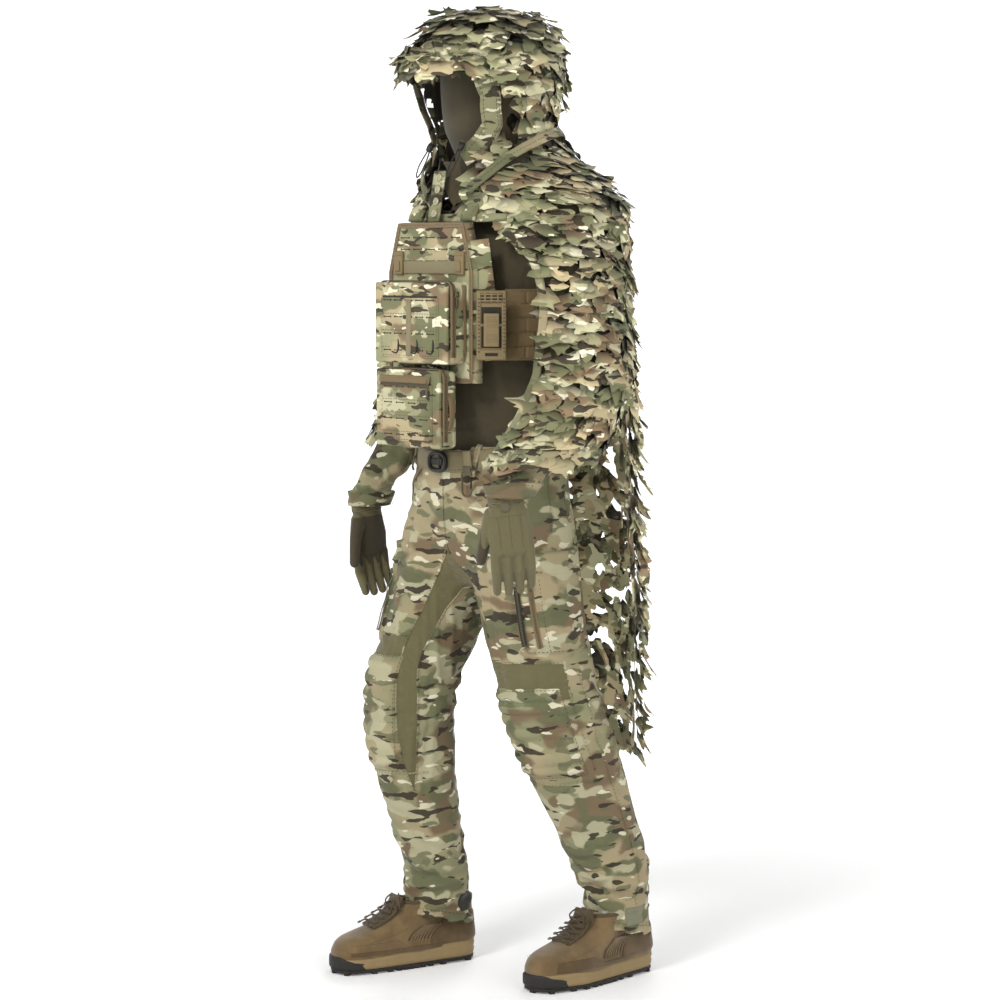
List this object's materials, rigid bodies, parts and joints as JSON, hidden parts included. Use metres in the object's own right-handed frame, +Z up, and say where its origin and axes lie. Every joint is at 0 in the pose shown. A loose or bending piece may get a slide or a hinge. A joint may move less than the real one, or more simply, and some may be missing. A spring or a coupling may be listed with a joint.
{
  "type": "ghillie suit",
  "caption": "Hooded leaf-cut camouflage suit on a standing field outfit with plate carrier, pouches, trousers, gloves and boots",
  "frame": {"origin": "middle of the suit's bounding box, on the floor under its boot soles", "axes": "+Z up, the suit faces -Y, the wearer's left is +X"},
  "size_m": [0.7157, 0.5369, 1.872],
  "materials": {
    "leaf_camo_cloth": "matt printed polyester, leaf-cut",
    "camo_cloth": "matt printed ripstop weave",
    "olive_stretch_cloth": "matt fine jersey",
    "olive_knit": "matt knit",
    "coyote_nylon": "matt coated nylon",
    "olive_webbing": "woven webbing",
    "hook_and_loop": "matt pile",
    "black_cord": "braided elastic",
    "brown_lace": "braided lace",
    "brown_suede": "suede with mesh panels",
    "tan_foam": "moulded foam",
    "black_rubber": "lugged rubber",
    "tan_plastic": "moulded",
    "olive_plastic": "moulded",
    "black_plastic": "moulded",
    "bronze_snaps": "dull, aged",
    "olive_metal": "satin"
  },
  "bodies": {
    "suit": {"hood_shell": "leaf_camo_cloth", "hood_brim": "leaf_camo_cloth", "face_mask": "olive_stretch_cloth", "cord_lock_left": "black_plastic", "cord_lock_right": "black_plastic", "hood_cord_left": "black_cord", "hood_cord_right": "black_cord", "cape_yoke": "leaf_camo_cloth", "cape_sleeve_left": "leaf_camo_cloth", "cape_sleeve_right": "leaf_camo_cloth", "cape_back": "leaf_camo_cloth", "shirt_body": "olive_stretch_cloth", "shirt_sleeve_left": "camo_cloth", "shirt_sleeve_right": "camo_cloth", "glove_left": "olive_knit", "glove_right": "olive_knit", "front_plate_bag": "camo_cloth", "back_plate_bag": "camo_cloth", "shoulder_strap_left": "coyote_nylon", "shoulder_strap_right": "coyote_nylon", "cummerbund_left": "coyote_nylon", "cummerbund_right": "coyote_nylon", "side_buckle_left": "tan_plastic", "side_buckle_right": "tan_plastic", "placard_clips": "tan_plastic", "upper_pouch_case": "camo_cloth", "lower_pouch_case": "camo_cloth", "trousers": "camo_cloth", "knee_pad_left": "camo_cloth", "knee_pad_right": "camo_cloth", "thigh_pocket_left": "camo_cloth", "thigh_pocket_right": "camo_cloth", "belt": "olive_webbing", "boot_upper_left": "brown_suede", "boot_upper_right": "brown_suede", "boot_midsole_left": "tan_foam", "boot_midsole_right": "tan_foam", "boot_outsole_left": "black_rubber", "boot_outsole_right": "black_rubber", "boot_laces_left": "brown_lace", "boot_laces_right": "brown_lace"},
    "upper_pouch_lid": {"upper_pouch_lid": "camo_cloth"},
    "upper_zip_slider": {"upper_zip_slider": "olive_metal"},
    "lower_pouch_lid": {"lower_pouch_lid": "camo_cloth"},
    "pocket_zip_slider": {"pocket_zip_slider": "olive_metal"},
    "buckle_release_left": {"buckle_release_left": "tan_plastic"},
    "buckle_release_right": {"buckle_release_right": "tan_plastic"},
    "lock_plunger_left": {"lock_plunger_left": "black_plastic"},
    "lock_plunger_right": {"lock_plunger_right": "black_plastic"},
    "key_hook": {"key_hook": "olive_plastic"},
    "key_hook_gate": {"key_hook_gate": "black_plastic"},
    "belt_buckle": {"belt_buckle": "black_plastic"},
    "ankle_tab_left": {"ankle_tab_left": "hook_and_loop"},
    "ankle_tab_right": {"ankle_tab_right": "hook_and_loop"},
    "neck_placket": {"neck_placket": "camo_cloth", "placket_snaps": "bronze_snaps"},
    "cape_tail": {"cape_tail": "leaf_camo_cloth"},
    "thigh_zip_slider_left": {"thigh_zip_slider_left": "olive_metal"},
    "thigh_zip_slider_right": {"thigh_zip_slider_right": "olive_metal"}
  },
  "joints": [
    {"name": "upper_lid_hinge", "type": "hinge", "parent": "suit", "child": "upper_pouch_lid", "pos_m": [-0.0082, -0.2017, 1.198], "axis": [1, 0, 0], "range_deg": [0, 75]},
    {"name": "upper_zip_slide", "type": "slide", "parent": "suit", "child": "upper_zip_slider", "axis": [0, 0, -1], "range_m": [0, 0.085]},
    {"name": "lower_lid_hinge", "type": "hinge", "parent": "suit", "child": "lower_pouch_lid", "pos_m": [-0.0082, -0.2091, 1.04], "axis": [1, 0, 0], "range_deg": [0, 75]},
    {"name": "pocket_zip_slide", "type": "slide", "parent": "lower_pouch_lid", "child": "pocket_zip_slider", "axis": [-1, 0, 0], "range_m": [0, 0.13]},
    {"name": "left_buckle_release", "type": "slide", "parent": "suit", "child": "buckle_release_left", "axis": [0, 0, 1], "range_m": [0, 0.01], "stiffness_N_per_m": 200, "springref_m": -0.002},
    {"name": "right_buckle_release", "type": "slide", "parent": "suit", "child": "buckle_release_right", "axis": [0, 0, 1], "range_m": [0, 0.01], "stiffness_N_per_m": 200, "springref_m": -0.002},
    {"name": "left_lock_plunger", "type": "slide", "parent": "suit", "child": "lock_plunger_left", "axis": [0, -0.5299, -0.848], "range_m": [0, 0.004], "stiffness_N_per_m": 250, "springref_m": -0.001},
    {"name": "right_lock_plunger", "type": "slide", "parent": "suit", "child": "lock_plunger_right", "axis": [0, -0.5299, -0.848], "range_m": [0, 0.004], "stiffness_N_per_m": 250, "springref_m": -0.001},
    {"name": "key_hook_swing", "type": "hinge", "parent": "suit", "child": "key_hook", "pos_m": [0.0718, -0.1345, 1.032], "axis": [-0.4695, 0.8829, 0], "range_deg": [-25, 25]},
    {"name": "key_hook_gate_hinge", "type": "hinge", "parent": "key_hook", "child": "key_hook_gate", "pos_m": [0.07901, -0.13463, 0.964], "axis": [0.4695, -0.8829, 0], "range_deg": [0, 24], "stiffness_Nm_per_rad": 0.02, "springref_deg": -5.73},
    {"name": "belt_buckle_hinge", "type": "hinge", "parent": "suit", "child": "belt_buckle", "pos_m": [-0.0372, -0.141, 1.009], "axis": [0, 0, -1], "range_deg": [0, 30]},
    {"name": "left_ankle_tab_hinge", "type": "hinge", "parent": "suit", "child": "ankle_tab_left", "pos_m": [0.21859, 0.13823, 0.122], "axis": [0, 0, -1], "range_deg": [0, 80]},
    {"name": "right_ankle_tab_hinge", "type": "hinge", "parent": "suit", "child": "ankle_tab_right", "pos_m": [-0.07785, -0.0239, 0.122], "axis": [0, 0, -1], "range_deg": [0, 80]},
    {"name": "placket_hinge", "type": "hinge", "parent": "suit", "child": "neck_placket", "pos_m": [-0.0292, -0.148, 1.464], "axis": [0, -0.1736, -0.9848], "range_deg": [0, 60]},
    {"name": "cape_tail_swing", "type": "hinge", "parent": "suit", "child": "cape_tail", "pos_m": [-0.0082, 0.2215, 1.108], "axis": [1, 0, 0], "range_deg": [0, 30]},
    {"name": "left_thigh_zip_slide", "type": "slide", "parent": "suit", "child": "thigh_zip_slider_left", "axis": [0.0711, 0.1822, -0.9807], "range_m": [0, 0.09]},
    {"name": "right_thigh_zip_slide", "type": "slide", "parent": "suit", "child": "thigh_zip_slider_right", "axis": [-0.0492, -0.2811, -0.9584], "range_m": [0, 0.09]}
  ]
}
